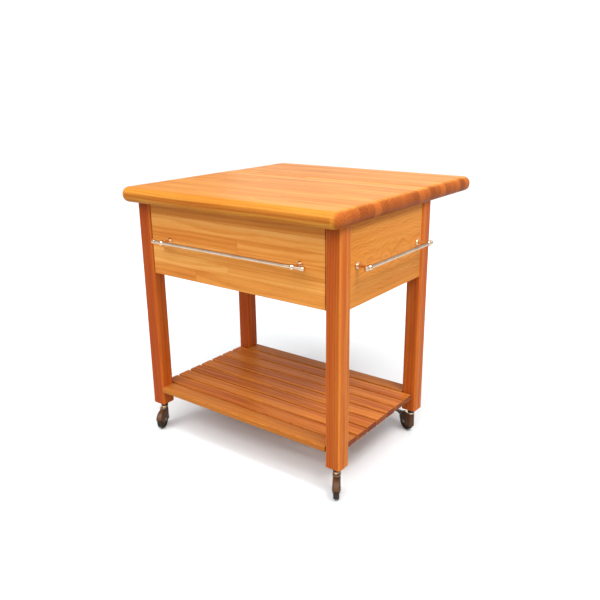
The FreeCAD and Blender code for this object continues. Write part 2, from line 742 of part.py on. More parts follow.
def build_casters():
    """Four swivel casters, the rear pair with brakes."""
    sockets = []
    for (end, side), heading in CASTER_HEADINGS.items():
        x_text = f"mid_x + {signed(SIDES[side], 'half_width - leg_side / 2')}"
        y_text = f"mid_y + {signed(ENDS[end], 'half_depth - leg_side / 2')}"
        under_leg = (x_text, y_text, "0")
        turn = Rotation(Vector(0, 0, 1), heading)
        braked = end == BRAKED_END
        sockets.append(place(caster_socket(), under_leg))
        keep(place(caster_fork(braked), under_leg, turn), f"caster_fork_{end}_{side}")
        keep(place(caster_axle(), under_leg, turn), f"caster_axle_{end}_{side}")
        ahead = turn.multVec(Vector(1, 0, 0))
        hub = (f"{x_text} + {ahead.x:.9f} * caster_trail", f"{y_text} + {ahead.y:.9f} * caster_trail",
               "wheel_radius")
        across = Rotation(Vector(0, 0, 1), heading + 90)
        keep(place(caster_wheel(), hub, across), f"caster_wheel_{end}_{side}")
        if braked:
            keep(place(caster_pedal(), under_leg, turn), f"brake_pedal_{end}_{side}")
    keep(group(sockets), "caster_sockets")


def check_document():
    """Stop if any object failed or any sub-part has no sound shape."""
    for item in doc.Objects:
        if "Invalid" in item.State or "Error" in item.State:
            raise ValueError(f"{item.Label} failed: {item.State}")
    for item in nodes:
        if item.Shape.isNull() or not item.Shape.isValid() or not item.Shape.Solids:
            raise ValueError(f"{item.Label} has no sound solid")


def export_parts():
    """Write each sub-part to its own file."""
    os.makedirs("parts", exist_ok=True)
    for item in nodes:
        item.Shape.exportStep(f"parts/{item.Label}.step")


make_sheet()
build_top()
build_case()
build_shelf()
build_slides()
build_drawer()
build_bars()
build_hinges()
build_casters()
doc.recompute()
check_document()
export_parts()
print(len(nodes), "sub-parts")
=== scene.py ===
"""Kitchen island on casters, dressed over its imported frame."""
import json
import logging
import math
import random
from dataclasses import dataclass, field, replace
from enum import Enum
from typing import Any, Callable, Iterable, Sequence

import bmesh
import bpy
from mathutils import Matrix, Vector


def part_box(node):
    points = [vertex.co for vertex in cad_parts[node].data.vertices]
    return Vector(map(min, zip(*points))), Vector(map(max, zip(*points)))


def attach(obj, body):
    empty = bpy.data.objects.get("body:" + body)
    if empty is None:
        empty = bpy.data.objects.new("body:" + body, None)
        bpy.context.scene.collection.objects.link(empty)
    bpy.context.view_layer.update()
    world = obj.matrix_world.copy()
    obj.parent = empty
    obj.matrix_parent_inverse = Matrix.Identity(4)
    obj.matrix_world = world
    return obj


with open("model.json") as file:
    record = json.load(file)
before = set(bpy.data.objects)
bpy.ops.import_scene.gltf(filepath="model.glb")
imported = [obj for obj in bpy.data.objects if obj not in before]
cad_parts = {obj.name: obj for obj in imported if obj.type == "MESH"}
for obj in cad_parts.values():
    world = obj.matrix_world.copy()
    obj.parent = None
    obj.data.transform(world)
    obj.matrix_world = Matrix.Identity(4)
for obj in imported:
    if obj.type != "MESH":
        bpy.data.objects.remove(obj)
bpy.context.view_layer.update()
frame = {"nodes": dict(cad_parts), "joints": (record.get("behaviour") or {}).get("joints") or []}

LOG = logging.getLogger("kitchen_island")
Colour = tuple[float, float, float]
Point = tuple[float, float, float]
Range = tuple[float, float]
BMesh = bmesh.types.BMesh
Material = bpy.types.Material
Node = bpy.types.Node
Socket = bpy.types.NodeSocket
Tree = bpy.types.NodeTree
MM = 0.001

# Noise in cycles per metre along, across and through the grain.
WAVE_CYCLES = (1.6, 7.0, 7.0)
CURL_CYCLES = (13.0, 21.0, 21.0)
RING_CYCLES = (5.0, 70.0, 70.0)
STREAK_CYCLES = (0.9, 55.0, 55.0)
FIBRE_CYCLES = (10.0, 620.0, 620.0)
CLOUD_CYCLES = (2.2, 9.0, 9.0)
PORE_CYCLES = (55.0, 1500.0, 1500.0)
POLISH_CYCLES = (12.0, 2600.0, 2600.0)

# Spread and least value of a stave's own place in its log, on the same axes.
STAVE_SPREAD = (3.0, 0.16, 0.06)
STAVE_LEAST = (-1.5, -0.10, 0.03)
SEED_STRIDE = 17.31
SEAM_LINE = 0.2 * MM
SEAM_FADE = 1.1 * MM
LATE_WOOD = 0.86
BOARD_TONE_SHARE = 0.6

EASED_DEGREES = 50.0
SHARP_DEGREES = 35.0
WELD_REACH = 1e-6


def srgb(red: int, green: int, blue: int) -> Colour:
    """Linear light of a screen colour, given as red, green and blue from 0 to 255."""
    def one(value: int) -> float:
        """Linear value of one channel."""
        part = value / 255
        return part / 12.92 if part <= 0.04045 else ((part + 0.055) / 1.055) ** 2.4

    return one(red), one(green), one(blue)


class Grain(Enum):
    """Which way a board's grain runs, as the order of the frame's axes: along, across, through."""

    ALONG_X = ("X", "Y", "Z")
    ALONG_X_UPRIGHT = ("X", "Z", "Y")
    ALONG_Y = ("Y", "X", "Z")
    ALONG_Y_UPRIGHT = ("Y", "Z", "X")
    ALONG_Z = ("Z", "Y", "X")


class Side(Enum):
    """Left and right seen from the front."""

    LEFT = "left"
    RIGHT = "right"


class Graph:
    """Short ways to add nodes to one shader tree and to link them."""

    def __init__(self, tree: Tree) -> None:
        """Keep the tree that the nodes go into."""
        self.tree = tree

    def put(self, socket: Socket, value: Any) -> None:
        """Link a socket to another one, or set its value.

        Args:
            socket: The input to fill.
            value: Another socket, a number, or a vector or colour.
        """
        if isinstance(value, Socket):
            self.tree.links.new(value, socket)
        elif socket.type == "RGBA" and len(value) == 3:
            socket.default_value = (*value, 1.0)
        else:
            socket.default_value = value

    def node(self, kind: str, inputs: dict[Any, Any] | None = None, **settings: Any) -> Node:
        """Add a node.

        Args:
            kind: Blender's node type without its ShaderNode prefix.
            inputs: Values or sockets by input name or number.
            **settings: Properties of the node.

        Returns:
            The new node.
        """
        made = self.tree.nodes.new("ShaderNode" + kind)
        for name, value in settings.items():
            setattr(made, name, value)
        for name, value in (inputs or {}).items():
            self.put(made.inputs[name], value)
        return made

    def math(self, operation: str, *values: Any, clamp: bool = False) -> Socket:
        """Add a Math node and return its result."""
        inputs = dict(enumerate(values))
        return self.node("Math", inputs, operation=operation, use_clamp=clamp).outputs[0]

    def times(self, first: Any, second: Any) -> Socket:
        """Product of two values."""
        return self.math("MULTIPLY", first, second)

    def vector(self, operation: str, *values: Any) -> Socket:
        """Add a Vector Math node and return its vector."""
        return self.node("VectorMath", dict(enumerate(values)), operation=operation).outputs["Vector"]

    def scale(self, value: Socket, amount: Any) -> Socket:
        """A vector times a number."""
        return self.node("VectorMath", {0: value, "Scale": amount}, operation="SCALE").outputs["Vector"]

    def length(self, value: Socket) -> Socket:
        """Length of a vector."""
        return self.node("VectorMath", {0: value}, operation="LENGTH").outputs["Value"]

    def split(self, value: Socket) -> tuple[Socket, Socket, Socket]:
        """The three parts of a vector."""
        outputs = self.node("SeparateXYZ", {0: value}).outputs
        return outputs[0], outputs[1], outputs[2]

    def join(self, x: Any, y: Any, z: Any) -> Socket:
        """A vector from three parts."""
        return self.node("CombineXYZ", {0: x, 1: y, 2: z}).outputs[0]

    def noise(self, vector: Socket, stretch: Sequence[float], detail: float = 2.0,
              roughness: float = 0.5) -> Node:
        """Add a noise texture with its own scale along each axis.

        Args:
            vector: Where the noise is read.
            stretch: Cycles per metre along each axis.
            detail: Number of finer layers.
            roughness: Weight of the finer layers.

        Returns:
            The noise node: output 0 is a value and output 1 a colour.
        """
        scaled = self.vector("MULTIPLY", vector, tuple(stretch))
        inputs = {"Vector": scaled, "Scale": 1.0, "Detail": detail, "Roughness": roughness}
        return self.node("TexNoise", inputs)

    def smooth(self, value: Any, low: Any, high: Any, to_low: float = 0.0,
               to_high: float = 1.0) -> Socket:
        """Ease a value from one range to another and hold it at the ends."""
        inputs = {"Value": value, "From Min": low, "From Max": high, "To Min": to_low, "To Max": to_high}
        return self.node("MapRange", inputs, interpolation_type="SMOOTHSTEP").outputs[0]

    def span(self, value: Any, to_low: Any, to_high: Any) -> Socket:
        """Stretch a value from 0..1 to another range."""
        return self.node("MapRange", {"Value": value, "To Min": to_low, "To Max": to_high}).outputs[0]

    def blend(self, factor: Any, first: Any, second: Any, kind: str = "MIX") -> Socket:
        """Mix two colours."""
        made = self.node("Mix", {0: factor, 6: first, 7: second}, data_type="RGBA", blend_type=kind)
        return made.outputs[2]

    def group(self, tree: Tree, **inputs: Any) -> Node:
        """Place a node group; an input's name has its spaces written as underscores."""
        made = self.tree.nodes.new("ShaderNodeGroup")
        made.node_tree = tree
        for name, value in inputs.items():
            self.put(made.inputs[name.replace("_", " ")], value)
        return made


SOCKETS = {"value": "NodeSocketFloat", "vector": "NodeSocketVector", "colour": "NodeSocketColor"}


class Effect:
    """A shared surface effect, kept as one node group."""

    made: dict[str, Tree] = {}

    @classmethod
    def get(cls, name: str, inputs: dict[str, str], outputs: dict[str, str],
            fill: Callable[[Graph, Any], dict[str, Any]]) -> Tree:
        """Find an effect's group, and build it the first time.

        Args:
            name: The group's name.
            inputs: Kind of each input by name.
            outputs: Kind of each output by name.
            fill: Adds the nodes and returns the socket of each output.

        Returns:
            The node group.
        """
        if name in cls.made:
            return cls.made[name]
        tree = bpy.data.node_groups.new(name, "ShaderNodeTree")
        for way, kinds in (("INPUT", inputs), ("OUTPUT", outputs)):
            for label, kind in kinds.items():
                tree.interface.new_socket(name=label, in_out=way, socket_type=SOCKETS[kind])
        entry = tree.nodes.new("NodeGroupInput")
        leave = tree.nodes.new("NodeGroupOutput")
        graph = Graph(tree)
        for label, value in fill(graph, entry.outputs).items():
            graph.put(leave.inputs[label], value)
        cls.made[name] = tree
        return tree


def glued_staves() -> Tree:
    """Group for boards glued up from staves: a tone, a grain shift and a seam for each stave.

    Returns:
        The node group.
    """
    def fill(g: Graph, given: Any) -> dict[str, Any]:
        """Number the staves and draw a random tone for each."""
        along, across, _ = g.split(given["Vector"])
        lane = g.math("DIVIDE", across, given["Width"])
        row = g.math("FLOOR", lane)
        seeded = g.math("MULTIPLY_ADD", given["Seed"], SEED_STRIDE, row)
        start = g.node("TexWhiteNoise", {"W": seeded}, noise_dimensions="1D").outputs["Value"]
        place = g.math("ADD", g.math("DIVIDE", along, given["Length"]), start)
        cell = g.join(row, g.math("FLOOR", place), given["Seed"])
        drawn = g.node("TexWhiteNoise", {"Vector": cell}, noise_dimensions="3D").outputs
        own = g.vector("MULTIPLY_ADD", drawn["Color"], STAVE_SPREAD, STAVE_LEAST)
        from_lane = g.join(0.0, g.times(row, given["Width"]), 0.0)
        seams = []
        for position, size in ((lane, given["Width"]), (place, given["Length"])):
            from_middle = g.math("ABSOLUTE", g.math("SUBTRACT", g.math("FRACT", position), 0.5))
            gap = g.times(g.math("SUBTRACT", 0.5, from_middle), size)
            seams.append(g.smooth(gap, SEAM_LINE, SEAM_FADE, 1.0, 0.0))
        return {"Tone": drawn["Value"], "Shift": g.vector("SUBTRACT", own, from_lane),
                "Seam": g.math("MAXIMUM", *seams)}

    inputs = {"Vector": "vector", "Width": "value", "Length": "value", "Seed": "value"}
    return Effect.get("glued_staves", inputs, {"Tone": "value", "Shift": "vector", "Seam": "value"}, fill)


def solid_wood() -> Tree:
    """Group for wood cut from a log whose pith runs along the first axis.

    Returns:
        The node group, which puts out a colour, a height and how dull the surface is.
    """
    def fill(g: Graph, given: Any) -> dict[str, Any]:
        """Draw growth rings, streaks, fibres and pores, and the darker end grain."""
        place = g.vector("ADD", given["Vector"], given["Shift"])
        bent = place
        for cycles, amount in ((WAVE_CYCLES, given["Waviness"]), (CURL_CYCLES, given["Curl"])):
            bend = g.vector("SUBTRACT", g.noise(place, cycles).outputs[1], (0.5, 0.5, 0.5))
            bent = g.vector("ADD", bent, g.scale(bend, amount))
        _, bent_y, bent_z = g.split(bent)
        radius = g.length(g.join(0.0, bent_y, bent_z))
        jitter = g.times(g.noise(place, RING_CYCLES, 3.0).outputs[0], 0.8)
        turn = g.math("FRACT", g.math("ADD", g.math("DIVIDE", radius, given["Ring Spacing"]), jitter))
        rise = g.smooth(turn, 0.15, LATE_WOOD)
        ring = g.times(rise, g.smooth(turn, LATE_WOOD, 1.0, 1.0, 0.0))
        streak = g.noise(place, STREAK_CYCLES, 4.0, 0.62).outputs[0]
        fibre = g.noise(place, FIBRE_CYCLES).outputs[0]
        cloud = g.noise(place, CLOUD_CYCLES).outputs[0]
        pore = g.smooth(g.noise(place, PORE_CYCLES, 1.0).outputs[0], 0.60, 0.72)
        total: Any = given["Tone"]
        marks = ((ring, 0.35, 0.34), (streak, 0.5, 1.15), (fibre, 0.5, 0.5), (cloud, 0.5, 0.75))
        for value, middle, weight in marks:
            part = g.times(g.math("SUBTRACT", value, middle), weight)
            total = g.math("MULTIPLY_ADD", part, given["Contrast"], total)
        lower = g.math("MULTIPLY", total, 2.0, clamp=True)
        upper = g.math("MULTIPLY_ADD", total, 2.0, -1.0, clamp=True)
        colour = g.blend(upper, g.blend(lower, given["Light"], given["Mid"]), given["Dark"])
        colour = g.blend(g.times(pore, 0.30), colour, given["Dark"], "MULTIPLY")
        facing, _, _ = g.split(given["Normal"])
        cut_across = g.smooth(g.math("ABSOLUTE", facing), 0.25, 0.75)
        spread = g.math("MULTIPLY_ADD", given["Tone"], 1.5, -0.30)
        mottled = g.math("MULTIPLY_ADD", g.math("SUBTRACT", cloud, 0.5), 0.8, spread)
        rings = g.math("MULTIPLY_ADD", ring, 0.20, mottled, clamp=True)
        end = g.blend(rings, given["End Light"], given["End Dark"])
        height = g.math("SUBTRACT", g.math("ADD", fibre, g.times(ring, 0.5)), pore)
        return {"Colour": g.blend(cut_across, colour, end), "Height": height,
                "Dull": g.times(g.math("ADD", cloud, streak), 0.5)}

    inputs = dict.fromkeys(("Vector", "Normal", "Shift"), "vector")
    inputs |= dict.fromkeys(("Tone", "Ring Spacing", "Waviness", "Curl", "Contrast"), "value")
    inputs |= dict.fromkeys(("Light", "Mid", "Dark", "End Light", "End Dark"), "colour")
    return Effect.get("solid_wood", inputs, {"Colour": "colour", "Height": "value", "Dull": "value"}, fill)


def edge_wear() -> Tree:
    """Group for edges of a boxy piece, from the distance to the edges of its box: rubbed wear and a
    painted highlight.

    Returns:
        The node group.
    """
    def fill(g: Graph, given: Any) -> dict[str, Any]:
        """Take the middle one of the three distances to the faces, which is the distance to an edge."""
        inside = g.vector("MINIMUM", g.vector("SUBTRACT", given["Vector"], given["Low"]),
                          g.vector("SUBTRACT", given["High"], given["Vector"]))
        a, b, c = g.split(inside)
        larger = g.math("MAXIMUM", a, b)
        middle = g.math("MAXIMUM", g.math("MINIMUM", a, b), g.math("MINIMUM", larger, c))
        near = g.smooth(middle, 0.0, given["Reach"], 1.0, 0.0)
        patches = g.noise(given["Vector"], (24.0, 24.0, 24.0), 4.0, 0.6).outputs[0]
        return {"Wear And Highlight": g.times(near, g.smooth(patches, 0.36, 0.66))}

    inputs = {"Vector": "vector", "Low": "vector", "High": "vector", "Reach": "value"}
    return Effect.get("edge_wear", inputs, {"Wear And Highlight": "value"}, fill)


def fine_scratches() -> Tree:
    """Group for bare and plated metal: polishing lines along the first axis, and faint stains.

    Returns:
        The node group.
    """
    def fill(g: Graph, given: Any) -> dict[str, Any]:
        """Draw long thin lines, and soft patches where hands have been."""
        lines = g.noise(given["Vector"], POLISH_CYCLES).outputs[0]
        patches = g.noise(given["Vector"], (30.0, 30.0, 30.0), 3.0).outputs[0]
        stain = g.smooth(patches, 0.42, 0.70)
        total = g.math("ADD", g.times(lines, 0.55), g.times(stain, 0.45))
        return {"Lines": lines, "Stain": stain, "Dull": total}

    return Effect.get("fine_scratches", {"Vector": "vector"},
                      {"Lines": "value", "Stain": "value", "Dull": "value"}, fill)


def floor_dust() -> Tree:
    """Group for dust and scuffs that gather near the floor.

    Returns:
        The node group.
    """
    def fill(g: Graph, given: Any) -> dict[str, Any]:
        """Fade dust out with height, and break it into specks and thin scuffs."""
        _, _, up = g.split(given["Vector"])
        low = g.smooth(up, 0.0, given["Top"], 1.0, 0.15)
        specks = g.noise(given["Vector"], (260.0, 260.0, 260.0), 4.0, 0.7).outputs[0]
        scuffs = g.noise(given["Vector"], (40.0, 40.0, 900.0)).outputs[0]
        return {"Dust": g.times(low, g.smooth(specks, 0.50, 0.74)),
                "Scuff": g.times(low, g.smooth(scuffs, 0.60, 0.68))}

    return Effect.get("floor_dust", {"Vector": "vector", "Top": "value"},
                      {"Dust": "value", "Scuff": "value"}, fill)


def wheel_radius_zones() -> Tree:
    """Group that tells how far a point lies from a wheel's axle.

    Returns:
        The node group.
    """
    def fill(g: Graph, given: Any) -> dict[str, Any]:
        """Take the part of the way from the hub that is square to the axle."""
        away = g.vector("SUBTRACT", given["Vector"], given["Hub"])
        dot = g.node("VectorMath", {0: away, 1: given["Axle"]}, operation="DOT_PRODUCT")
        on_axle = g.scale(given["Axle"], dot.outputs["Value"])
        return {"Radius": g.length(g.vector("SUBTRACT", away, on_axle))}

    return Effect.get("wheel_radius_zones", {"Vector": "vector", "Hub": "vector", "Axle": "vector"},
                      {"Radius": "value"}, fill)


def new_material(name: str) -> tuple[Material, Graph, Node]:
    """Start a material, and return it with its graph and its shader node."""
    made = bpy.data.materials.new(name)
    made.use_nodes = True
    return made, Graph(made.node_tree), made.node_tree.nodes["Principled BSDF"]


def turned(graph: Graph, value: Socket, grain: Grain) -> Socket:
    """Put a vector's parts into the order along, across and through the grain."""
    parts = dict(zip("XYZ", graph.split(value)))
    return graph.join(*(parts[axis] for axis in grain.value))


def bump(graph: Graph, shader: Node, height: Socket, strength: float, distance: float) -> None:
    """Raise and lower a shader's surface by a height.

    Args:
        graph: The material's graph.
        shader: The shader to bump.
        height: The height, about 0 to 1.
        strength: Share of the bump that shows.
        distance: Depth of the bump in metres.
    """
    made = graph.node("Bump", {"Strength": strength, "Distance": distance, "Height": height})
    graph.put(shader.inputs["Normal"], made.outputs["Normal"])


@dataclass(frozen=True)
class WoodFinish:
    """A hardwood with its stain and lacquer; a stave width of nothing means one solid board."""

    light: Colour
    mid: Colour
    dark: Colour
    end_light: Colour
    end_dark: Colour
    stave_width: float = 0.0
    stave_length: float = 0.6
    tone: float = 0.45
    tone_spread: float = 0.4
    contrast: float = 1.0
    ring_spacing: float = 0.011
    waviness: float = 0.035
    curl: float = 0.0
    roughness: Range = (0.30, 0.48)
    coat: float = 0.0
    coat_roughness: float = 0.18
    shine: float = 0.08
    # How far and how strongly the edges lighten: rubbed wear and a painted highlight.
    wear_and_highlight_reach: float = 5.0 * MM
    wear: float = 0.30
    worn_dullness: float = 0.35
    seam_shade: float = 0.4
    seam_depth: float = 2.0
    bump_strength: float = 0.22
    bump_depth: float = 0.3 * MM

    def material(self, name: str, grain: Grain, seed: int, low: Vector, high: Vector) -> Material:
        """Make the finish for one board.

        Args:
            name: The material's name.
            grain: Which way the grain runs.
            seed: Number that sets this board apart from others of the same finish.
            low: Lowest corner of the board's box.
            high: Highest corner of the board's box.

        Returns:
            The material.
        """
        made, g, shader = new_material(name)
        coords = g.node("TexCoord").outputs
        along = turned(g, g.vector("SUBTRACT", coords["Object"], tuple(low)), grain)
        draw = random.Random(seed)
        width = (high - low)["XYZ".index(grain.value[1])]
        shift: Any = (draw.uniform(-3, 3), draw.uniform(-0.04, 0.04) - width / 2,
                      draw.uniform(0.02, 0.06))
        tone: Any = self.tone + self.tone_spread * (draw.random() - 0.5) * BOARD_TONE_SHARE
        seam = None
        if self.stave_width > 0:
            staves = g.group(glued_staves(), Vector=along, Width=self.stave_width,
                             Length=self.stave_length, Seed=float(seed)).outputs
            half = self.tone_spread / 2
            tone = g.span(staves["Tone"], self.tone - half, self.tone + half)
            shift, seam = staves["Shift"], staves["Seam"]
        normal = turned(g, coords["Normal"], grain)
        wood = g.group(solid_wood(), Vector=along, Normal=normal, Shift=shift, Tone=tone,
                       Ring_Spacing=self.ring_spacing, Waviness=self.waviness, Curl=self.curl,
                       Contrast=self.contrast, Light=self.light, Mid=self.mid, Dark=self.dark,
                       End_Light=self.end_light, End_Dark=self.end_dark).outputs
        wear = g.group(edge_wear(), Vector=coords["Object"], Low=tuple(low), High=tuple(high),
                       Reach=self.wear_and_highlight_reach).outputs["Wear And Highlight"]
        # Lighter wood along the edges: partly rubbed wear, partly a painted highlight on the eased edges.
        colour = g.blend(g.times(wear, self.wear), wood["Colour"], self.light)
        height = wood["Height"]
        if seam is not None:
            colour = g.blend(g.times(seam, self.seam_shade), colour, self.dark, "MULTIPLY")
            height = g.math("MULTIPLY_ADD", seam, -self.seam_depth, height)
        g.put(shader.inputs["Base Color"], colour)
        dull = g.math("MULTIPLY_ADD", wear, self.worn_dullness, wood["Dull"])
        g.put(shader.inputs["Roughness"], g.span(dull, *self.roughness))
        shader.inputs["Specular IOR Level"].default_value = self.shine
        shader.inputs["Coat Weight"].default_value = self.coat
        shader.inputs["Coat Roughness"].default_value = self.coat_roughness
        bump(g, shader, height, self.bump_strength, self.bump_depth)
        return made


@dataclass(frozen=True)
class MetalFinish:
    """Bare or plated metal with polishing lines along one axis."""

    colour: Colour
    stain: Colour
    roughness: Range
    stain_share: float = 0.6
    bump_strength: float = 0.15
    bump_depth: float = 0.03 * MM

    def material(self, name: str, grain: Grain) -> Material:
        """Make the finish, its lines running the way that grain names."""
        made, g, shader = new_material(name)
        coords = g.node("TexCoord").outputs
        marks = g.group(fine_scratches(), Vector=turned(g, coords["Object"], grain)).outputs
        stained = g.times(marks["Stain"], self.stain_share)
        g.put(shader.inputs["Base Color"], g.blend(stained, self.colour, self.stain))
        g.put(shader.inputs["Roughness"], g.span(marks["Dull"], *self.roughness))
        shader.inputs["Metallic"].default_value = 1.0
        bump(g, shader, marks["Lines"], self.bump_strength, self.bump_depth)
        return made


@dataclass(frozen=True)
class MouldedFinish:
    """Moulded plastic, rubber or enamel with a fine skin, dust and scuffs."""

    colour: Colour
    patch: Colour
    dust: Colour
    roughness: Range
    dust_top: float = 0.09
    dust_share: float = 0.45
    scuff_share: float = 0.35
    patch_cycles: float = 55.0
    skin_cycles: float = 900.0
    bump_strength: float = 0.25
    bump_depth: float = 0.12 * MM
    shine: float = 0.3

    def surface(self, g: Graph, shader: Node) -> tuple[Socket, Socket]:
        """Add the skin's bump, and work out its colour and roughness.

        Args:
            g: The material's graph.
            shader: The material's shader.

        Returns:
            The colour and the roughness.
        """
        place = g.node("TexCoord").outputs["Object"]
        skin = g.noise(place, (self.skin_cycles,) * 3).outputs[0]
        patches = g.noise(place, (self.patch_cycles,) * 3, 3.0).outputs[0]
        marks = g.group(floor_dust(), Vector=place, Top=self.dust_top).outputs
        colour = g.blend(g.smooth(patches, 0.35, 0.68), self.colour, self.patch)
        colour = g.blend(g.times(marks["Dust"], self.dust_share), colour, self.dust)
        colour = g.blend(g.times(marks["Scuff"], self.scuff_share), colour, self.dust)
        bump(g, shader, skin, self.bump_strength, self.bump_depth)
        shader.inputs["Specular IOR Level"].default_value = self.shine
        dull = g.math("ADD", patches, g.math("MULTIPLY", marks["Dust"], 0.5), clamp=True)
        return colour, g.span(dull, *self.roughness)

    def material(self, name: str) -> Material:
        """Make the finish."""
        made, g, shader = new_material(name)
        colour, rough = self.surface(g, shader)
        g.put(shader.inputs["Base Color"], colour)
        g.put(shader.inputs["Roughness"], rough)
        return made


TOP_WOOD = WoodFinish(
    light=srgb(221, 157, 68), mid=srgb(205, 128, 46), dark=srgb(176, 94, 30),
    end_light=srgb(200, 108, 46), end_dark=srgb(124, 54, 22),
    stave_width=0.0385, stave_length=1.5, tone=0.42, tone_spread=0.30, contrast=0.75, ring_spacing=0.009,
    roughness=(0.28, 0.46), shine=0.04, wear=0.10)
FRONT_WOOD = WoodFinish(
    light=srgb(240, 178, 98), mid=srgb(224, 146, 64), dark=srgb(196, 110, 42),
    end_light=srgb(208, 126, 60), end_dark=srgb(136, 64, 30),
    stave_width=0.0415, stave_length=1.0, tone=0.42, tone_spread=0.40, contrast=0.7)
SIDE_WOOD = WoodFinish(
    light=srgb(236, 164, 78), mid=srgb(224, 140, 54), dark=srgb(194, 108, 36),
    end_light=srgb(208, 126, 60), end_dark=srgb(136, 64, 30),
    tone=0.40, tone_spread=0.1, contrast=0.8, ring_spacing=0.0055, waviness=0.06, curl=0.022)
LEG_WOOD = WoodFinish(
    light=srgb(226, 142, 58), mid=srgb(202, 99, 36), dark=srgb(158, 60, 20),
    end_light=srgb(186, 96, 48), end_dark=srgb(120, 50, 26),
    stave_width=0.027, stave_length=40.0, tone=0.42, tone_spread=0.26, contrast=0.55, ring_spacing=0.009,
    waviness=0.014)
SHELF_WOOD = WoodFinish(
    light=srgb(230, 158, 74), mid=srgb(208, 124, 48), dark=srgb(166, 80, 28),
    end_light=srgb(190, 104, 50), end_dark=srgb(124, 54, 28),
    tone=0.68, tone_spread=0.42, contrast=0.7, ring_spacing=0.010, waviness=0.022)
# The stretchers' copy of the shelf wood: its golden hue is the wood's own, its darker tone is painted
# shade.
SHELF_BEARER_SHADED_WOOD = replace(SHELF_WOOD, mid=srgb(208, 132, 54), dark=srgb(168, 94, 34),
                            tone=0.84, tone_spread=0.1, contrast=0.4)
FRAME_WOOD = WoodFinish(
    light=srgb(224, 164, 98), mid=srgb(204, 138, 74), dark=srgb(160, 94, 46),
    end_light=srgb(190, 120, 66), end_dark=srgb(128, 68, 36), tone=0.44, tone_spread=0.3, coat=0.1)
DRAWER_WOOD = WoodFinish(
    light=srgb(236, 206, 158), mid=srgb(222, 186, 132), dark=srgb(186, 142, 90),
    end_light=srgb(206, 164, 112), end_dark=srgb(150, 106, 66), tone=0.42, tone_spread=0.3,
    contrast=0.8, coat=0.15)
BRIGHT_NICKEL = MetalFinish(srgb(236, 210, 182), srgb(202, 170, 140), (0.05, 0.16))
HINGE_STEEL = MetalFinish(srgb(178, 172, 162), srgb(140, 132, 122), (0.26, 0.46))
SLIDE_STEEL = MetalFinish(srgb(196, 200, 206), srgb(164, 168, 172), (0.24, 0.42))
AXLE_STEEL = MetalFinish(srgb(160, 156, 150), srgb(116, 108, 100), (0.28, 0.50))
HOOD_ENAMEL = MouldedFinish(
    srgb(92, 56, 28), srgb(72, 43, 21), srgb(146, 116, 84), (0.24, 0.46))
TREAD_RUBBER = MouldedFinish(
    srgb(50, 36, 24), srgb(40, 29, 20), srgb(124, 106, 84), (0.48, 0.74), dust_top=0.05)
PEDAL_PLASTIC = MouldedFinish(
    srgb(50, 42, 34), srgb(42, 36, 30), srgb(128, 116, 100), (0.38, 0.58))
SOCKET_BRONZE = MouldedFinish(
    srgb(48, 40, 34), srgb(36, 30, 26), srgb(120, 108, 92), (0.26, 0.44))


def node_object(name: str) -> bpy.types.Object:
    """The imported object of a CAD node."""
    return frame["nodes"][name]


def corners(name: str) -> tuple[Vector, Vector]:
    """Lowest and highest corner of a CAD node's box."""
    low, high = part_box(name)
    return Vector(low), Vector(high)


def coat(name: str, material: Material) -> None:
    """Give a CAD node its finish."""
    slots = node_object(name).data.materials
    slots.clear()
    slots.append(material)
    LOG.info("finished %s with %s", name, material.name)


def soften(name: str, width: float, segments: int = 2) -> None:
    """Ease a CAD node's edges with modifiers, leaving its mesh alone.

    Args:
        name: The CAD node.
        width: Width of the softened edge in metres.
        segments: Number of facets across it.
    """
    target = node_object(name)
    weld = target.modifiers.new("join_facets", "WELD")
    weld.merge_threshold = WELD_REACH
    edge = target.modifiers.new("soft_edges", "BEVEL")
    edge.width = width
    edge.segments = segments
    edge.limit_method = "ANGLE"
    edge.angle_limit = math.radians(EASED_DEGREES)
    edge.use_clamp_overlap = True


def board(name: str, finish: WoodFinish, grain: Grain, seed: int, ease: float = 0.0) -> None:
    """Dress one wooden CAD node.

    Args:
        name: The CAD node.
        finish: Its wood.
        grain: Which way its grain runs.
        seed: Number that sets it apart from its neighbours.
        ease: Width to which its sharp edges are eased, in metres.
    """
    low, high = corners(name)
    coat(name, finish.material(f"{name}_wood", grain, seed, low, high))
    if ease > 0:
        soften(name, ease)


def lathe(profile: Sequence[tuple[float, float]], steps: int = 32,
          shape: Callable[[float], float] | None = None, shaped: Iterable[int] = ()) -> BMesh:
    """Turn a profile about +Z.

    Args:
        profile: Radius and height of each ring, in metres, from one end to the other.
        steps: Number of points round each ring.
        shape: Factor on the radius by angle, for a driver's recess.
        shaped: Numbers of the rings that take that factor.

    Returns:
        The closed mesh, not yet placed.
    """
    made = bmesh.new()
    chosen = set(shaped)
    rings = []
    for number, (radius, height) in enumerate(profile):
        ring = []
        for step in range(steps):
            angle = 2 * math.pi * step / steps
            reach = radius * (shape(angle) if shape and number in chosen else 1.0)
            ring.append(made.verts.new((reach * math.cos(angle), reach * math.sin(angle), height)))
        rings.append(ring)
    for below, above in zip(rings, rings[1:]):
        for step in range(steps):
            after = (step + 1) % steps
            made.faces.new((below[step], below[after], above[after], above[step]))
    made.faces.new(list(reversed(rings[0])))
    made.faces.new(rings[-1])
    return made


